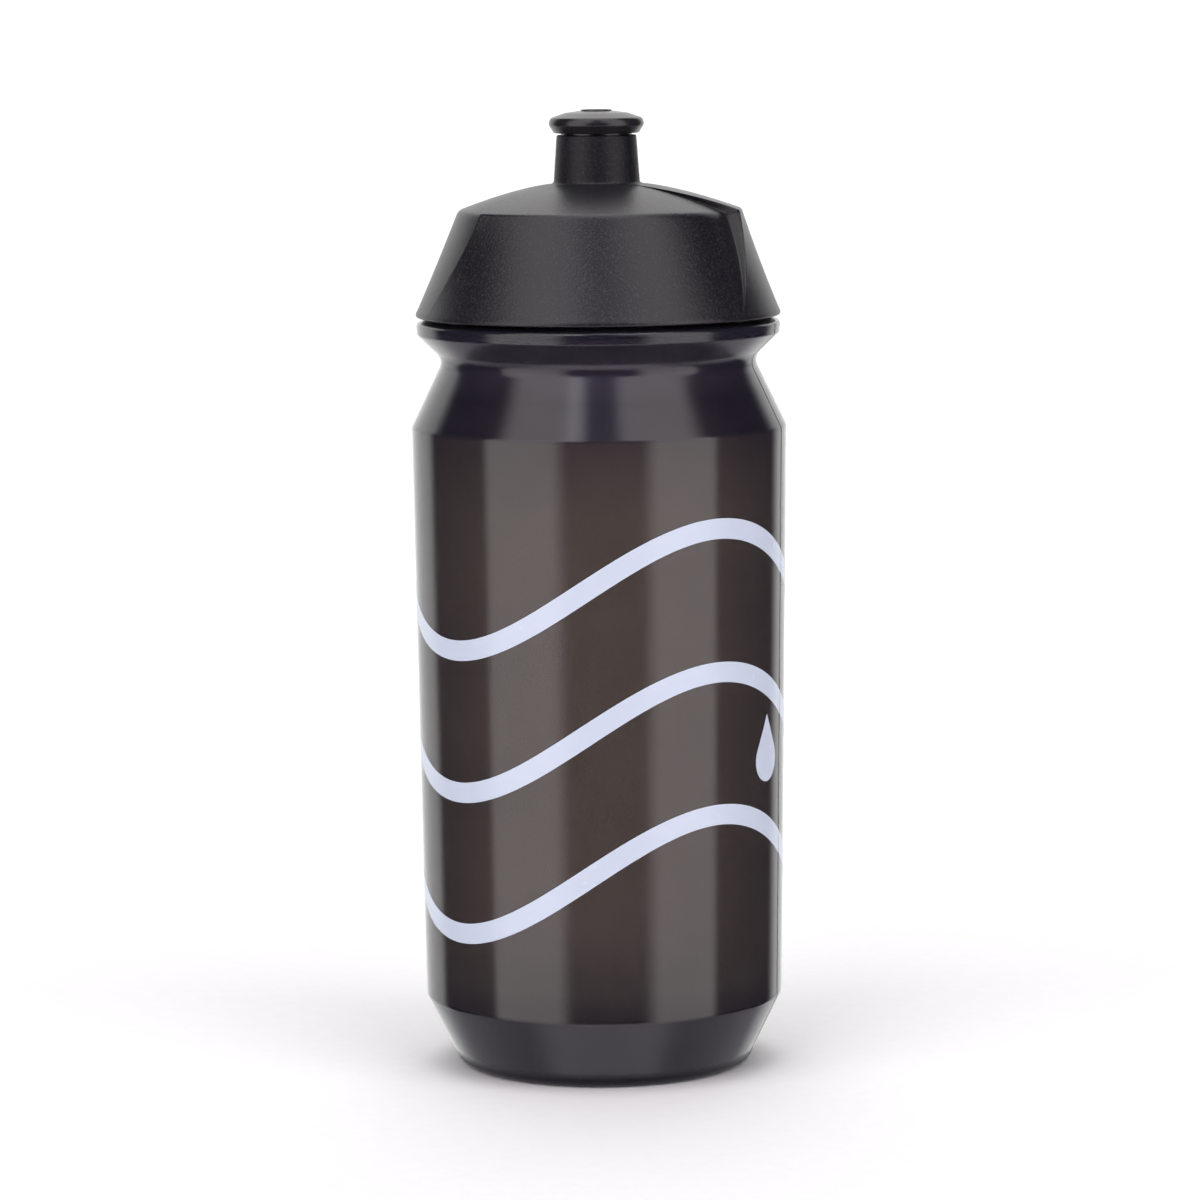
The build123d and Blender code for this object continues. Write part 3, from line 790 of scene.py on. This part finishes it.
def smoke_plastic():
    """Smoke-tinted see-through polyethylene: sleek side, faintly grained shoulder and base, and a
    hazy surface inside as it left the blow mould."""
    material, tree, shader, coords = new_material("smoke_polyethylene")
    ends = ends_zone(tree, coords, BASE_EDGE, SHOULDER_EDGE)
    # painted shade: the side's colour darkens towards the base and the shoulder
    near_ends_shade = ends_zone(tree, coords, BASE_SHADE, SHOULDER_SHADE)
    cloud = noise(tree, coords, 55.0, 3.0)
    side = mix_colour(tree, near_ends_shade, cloudy(tree, cloud, *SMOKE_SIDE), cloudy(tree, cloud, *SMOKE_NEAR_END_SHADE))
    # painted light: a lighter colour on the waist and the neck
    neck = rise(tree, coords, *NECK_PAINTED_LIGHT_ZONE)
    end = mix_colour(tree, neck, cloudy(tree, cloud, *SMOKE_END), cloudy(tree, cloud, *SMOKE_NECK_PAINTED_LIGHT))
    tree.links.new(mix_colour(tree, ends, side, end), shader.inputs["Base Color"])

    grain = noise(tree, coords, 2600.0, 2.0, 0.6)
    sleek = noise(tree, coords, 160.0, 2.0)
    hazy = spread(tree, sleek, 0.55, 0.65)
    rough = mix_value(tree, ends, spread(tree, sleek, 0.09, 0.13), spread(tree, grain, 0.10, 0.20))
    rough = mix_value(tree, rise(tree, coords, *FOOT_SCUFF), rough, hazy)
    inside = tree.nodes.new("ShaderNodeAttribute")
    inside.attribute_name = "inside"
    tree.links.new(mix_value(tree, inside.outputs["Fac"], rough, hazy), shader.inputs["Roughness"])
    relief = mix_value(tree, ends, spread(tree, sleek, 0.0, 0.2), spread(tree, grain, 0.0, 1.0))
    bump(tree, shader, relief, 0.2, 0.03 * MM)

    shader.inputs["IOR"].default_value = 1.51
    shader.inputs["Transmission Weight"].default_value = 0.98
    tint = tree.nodes.new("ShaderNodeVolumeAbsorption")
    tint.inputs["Color"].default_value = SMOKE_ABSORPTION
    tint.inputs["Density"].default_value = SMOKE_DENSITY
    tree.links.new(tint.outputs["Volume"], tree.nodes["Material Output"].inputs["Volume"])
    return material


CAP_TINT = (0.005, 0.0045, 0.007), (0.008, 0.007, 0.010)
# painted glint: a lighter colour on the grain's peaks stands in for its sparkle
CAP_PAINTED_GLINT = (0.026, 0.023, 0.030), (0.032, 0.028, 0.036)
CAP_GLINT_FROM, CAP_GLINT_TO = 0.52, 0.72                # of the grain's height
SPOUT_FROM = (174.5, 176.5)                              # duller from here up


def cap_plastic():
    """Black polypropylene with a fine moulded grain that sparkles, painted glints on the grain's peaks, and a
    duller spout.
    """
    material, tree, shader, coords = new_material("cap_polypropylene")
    cloud = noise(tree, coords, 40.0, 3.0)
    grain = noise(tree, coords, 2200.0, 2.0, 0.65)
    # painted glint: the grain's peaks take the lighter colour
    glint_peaks = ease(tree, grain, CAP_GLINT_FROM, CAP_GLINT_TO)
    tint = mix_colour(tree, glint_peaks, cloudy(tree, cloud, *CAP_TINT), cloudy(tree, cloud, *CAP_PAINTED_GLINT))
    tree.links.new(tint, shader.inputs["Base Color"])
    spout = rise(tree, coords, *SPOUT_FROM)
    rough = mix_value(tree, spout, spread(tree, grain, 0.26, 0.44), spread(tree, grain, 0.42, 0.54))
    tree.links.new(rough, shader.inputs["Roughness"])
    tree.links.new(spread(tree, spout, 0.5, 0.3), shader.inputs["Specular IOR Level"])
    bump(tree, shader, grain, 0.6, 0.1 * MM)
    return material


def plain_plastic(name, low, high, rough, grain_scale=1800.0, strength=0.25):
    """Moulded plastic with a slight cloud in its colour and a fine grain."""
    material, tree, shader, coords = new_material(name)
    cloud = noise(tree, coords, 90.0, 3.0)
    tree.links.new(cloudy(tree, cloud, low, high), shader.inputs["Base Color"])
    grain = noise(tree, coords, grain_scale, 2.0, 0.6)
    tree.links.new(spread(tree, grain, *rough), shader.inputs["Roughness"])
    bump(tree, shader, grain, strength, 0.06 * MM)
    return material


def floor_material():
    """Plain pale studio paper."""
    material, tree, shader, coords = new_material("studio_paper")
    fibre = noise(tree, coords, 300.0, 3.0)
    paper = ramp(tree, fibre, [(0.3, (0.93, 0.93, 0.93)), (0.7, (0.95, 0.95, 0.95))])
    tree.links.new(paper, shader.inputs["Base Color"])
    shader.inputs["Roughness"].default_value = 0.9
    shader.inputs["Specular IOR Level"].default_value = 0.1
    return material


# =========================================================================================
# Assembly
# =========================================================================================
def dress(objects, body, material, replaced=None):
    """Puts a material and a body on pieces, and hides the CAD node they take the place of."""
    for obj in objects:
        obj.data.materials.clear()
        obj.data.materials.append(material)
        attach(obj, body)
        if replaced:
            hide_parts(replaced)


smoke = smoke_plastic()
black = cap_plastic()
ink = plain_plastic(
    "white_ink", (0.60, 0.665, 0.79), (0.62, 0.685, 0.81), (0.26, 0.28), grain_scale=300.0, strength=0.0
)
pin_black = plain_plastic("pin_plastic", (0.014, 0.013, 0.015), (0.020, 0.019, 0.021), (0.32, 0.45))
stem_black = plain_plastic("stem_plastic", (0.012, 0.011, 0.013), (0.018, 0.017, 0.019), (0.2, 0.3))
soft_black = plain_plastic(
    "soft_elastomer",
    (0.012, 0.011, 0.013),
    (0.015, 0.014, 0.016),
    (0.22, 0.30),
    grain_scale=2200.0,
    strength=0.05,
)
seal_grey = plain_plastic("seal_rubber", (0.42, 0.42, 0.41), (0.50, 0.50, 0.49), (0.45, 0.6))

dress([body_piece()], "bottle", smoke, "bottle_body")
dress([wave_band(f"print_band_{i + 1}", z) for i, z in enumerate(BAND_HEIGHTS)], "bottle", ink)
dress([drop_mark()], "bottle", ink)
dress([cap_piece()], "cap", black, "screw_cap")
dress(pin_piece(), "cap", pin_black, "centre_pin")
dress([seal_piece()], "seal", seal_grey, "seal_ring")
dress([stem_piece()], "valve", stem_black, "valve_stem")
dress([mouthpiece_piece()], "valve", soft_black, "mouthpiece")


# =========================================================================================
# Stage, lights and camera
# =========================================================================================
FLOOR_SIZE = 6.0
STUDIO_LIGHT = 4.0

# light by direction: what the gloss of the bottle shows
DARK_CARD = (0.03, 0.02, 0.05)
LAMP_GAP = (0.18, 0.19, 0.33)
FLOOR_SHADE = (0.60, 0.56, 0.64)
WHITE = (1.15, 1.15, 1.15)
FLOOR_BOUNCE = (1.35, 1.25, 1.38)
SOFTBOX = (1.95, 1.84, 1.86)
BACK_LIGHT = (1.8, 1.75, 1.75)
CEILING = (1.9, 1.9, 1.9)
RIGHT_LAMP = (2.0, 1.9, 2.1)
LEFT_LAMP = (3.0, 2.9, 3.1)

# (azimuth where it starts, light, half width of the soft edge), in degrees
LOW_SECTORS = (
    (-126, DARK_CARD, 4),
    (-74, SOFTBOX, 3),
    (-25, DARK_CARD, 5),
    (31, SOFTBOX, 5),
    (76, DARK_CARD, 3),
    (138, WHITE, 5),
)
HIGH_SECTORS = (
    (-163, WHITE, 10),
    (-145, DARK_CARD, 6),
    (-70, SOFTBOX, 6),
    (-25, LEFT_LAMP, 2),
    (-12, LAMP_GAP, 4),
    (15, RIGHT_LAMP, 4),
    (26, SOFTBOX, 2),
    (72, DARK_CARD, 6),
    (145, WHITE, 6),
    (163, BACK_LIGHT, 10),
)
GROUND_SECTORS = ((-128, FLOOR_SHADE, 12), (-62, FLOOR_BOUNCE, 12), (62, FLOOR_SHADE, 12))
# elevations, in degrees, between which one light gives way to the next
HIGH_FROM, CEILING_FROM, GROUND_FROM, UNDER_FROM = (24, 34), (56, 64), (-22, -36), (-64, -74)


def add_stage():
    """Plain pale floor. Gloss shows the studio's light instead of it."""
    bm = bmesh.new()
    bmesh.ops.create_grid(bm, x_segments=4, y_segments=4, size=FLOOR_SIZE)
    floor = finish_mesh("floor", bm)
    floor.data.materials.append(floor_material())
    floor.visible_glossy = False


def dimmed(light):
    """A light's colour before the studio's strength is put on it."""
    return tuple(v / STUDIO_LIGHT for v in light)


def around(tree, turn, sectors):
    """Light round the horizon; turn runs from 0 to 1 over azimuths -180 to 180."""
    light = dimmed(sectors[-1][1])
    stops = [(0.0, light)]
    for azimuth, next_light, soft in sectors:
        stops.append(((azimuth - soft + 180) / 360, light))
        light = dimmed(next_light)
        stops.append(((azimuth + soft + 180) / 360, light))
    return ramp(tree, turn, stops)


def above(tree, height, elevations):
    """0 at the first elevation and 1 at the second, for the height of a direction."""
    low, high = (math.sin(math.radians(v)) for v in elevations)
    return ease(tree, height, low, high, smooth=True)


def add_lights():
    """Studio surround: white behind and below, two tall softboxes with a lamp strip beside each,
    dark cards between them and a white ceiling."""
    world = bpy.data.worlds.new("studio")
    bpy.context.scene.world = world
    world.use_nodes = True
    tree = world.node_tree
    coords = tree.nodes.new("ShaderNodeTexCoord")
    split = tree.nodes.new("ShaderNodeSeparateXYZ")
    tree.links.new(coords.outputs["Generated"], split.inputs["Vector"])
    ahead = math_node(tree, "MULTIPLY", split.outputs["Y"], -1.0)
    angle = math_node(tree, "ARCTAN2", split.outputs["X"], ahead)
    turn = math_node(tree, "ADD", math_node(tree, "MULTIPLY", angle, 0.5 / math.pi), 0.5)
    height = split.outputs["Z"]
    light = around(tree, turn, LOW_SECTORS)
    light = mix_colour(tree, above(tree, height, HIGH_FROM), light, around(tree, turn, HIGH_SECTORS))
    light = mix_colour(tree, above(tree, height, CEILING_FROM), light, dimmed(CEILING))
    light = mix_colour(tree, above(tree, height, GROUND_FROM), light, around(tree, turn, GROUND_SECTORS))
    light = mix_colour(tree, above(tree, height, UNDER_FROM), light, dimmed(FLOOR_SHADE))
    # the camera sees plain white paper behind the bottle, from every side
    path = tree.nodes.new("ShaderNodeLightPath")
    light = mix_colour(tree, path.outputs["Is Camera Ray"], light, dimmed(WHITE))
    background = tree.nodes["Background"]
    tree.links.new(light, background.inputs["Color"])
    background.inputs["Strength"].default_value = STUDIO_LIGHT


def add_camera():
    """Camera at the reference view."""
    data = bpy.data.cameras.new("camera")
    data.lens, data.sensor_width = CAMERA_LENS, CAMERA_SENSOR
    data.clip_start, data.clip_end = CAMERA_CLIP
    camera = bpy.data.objects.new("camera", data)
    bpy.context.scene.collection.objects.link(camera)
    camera.location = (CAMERA_X, -CAMERA_DISTANCE, CAMERA_HEIGHT)
    pitch = Euler((math.radians(90 - CAMERA_PITCH), 0, 0)).to_matrix()
    roll = Matrix.Rotation(math.radians(CAMERA_ROLL), 3, "Z")
    camera.rotation_euler = (pitch @ roll).to_euler()
    bpy.context.scene.camera = camera


add_stage()
add_lights()
add_camera()
bpy.context.scene.view_settings.view_transform = "Standard"
